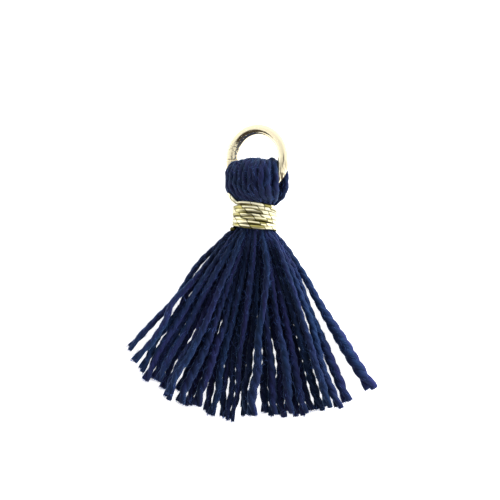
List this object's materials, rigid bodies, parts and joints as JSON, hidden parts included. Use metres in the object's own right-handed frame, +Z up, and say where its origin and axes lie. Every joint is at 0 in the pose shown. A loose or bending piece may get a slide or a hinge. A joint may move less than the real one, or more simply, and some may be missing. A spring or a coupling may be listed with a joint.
{
  "type": "tassel",
  "caption": "Mini yarn tassel with a fanned skirt, a metallic thread binding and a split jump ring, lying flat.",
  "frame": {"origin": "on the surface that the tassel lies on, under the middle of the binding", "axes": "+Z up from the surface, +Y along the tassel towards the jump ring, +X to the right with the ring at the top, seen from above"},
  "size_m": [0.021, 0.0252, 0.0047],
  "materials": {
    "yarn": "soft two-ply navy cotton yarn, matt with a fine fuzz",
    "binding_thread": "twisted metallic thread, pale gold, glittering facets",
    "ring_metal": "polished pale gold plating"
  },
  "bodies": {
    "root": {"yarn": "yarn", "binding": "binding_thread", "jump_ring": "ring_metal"}
  },
  "joints": []
}
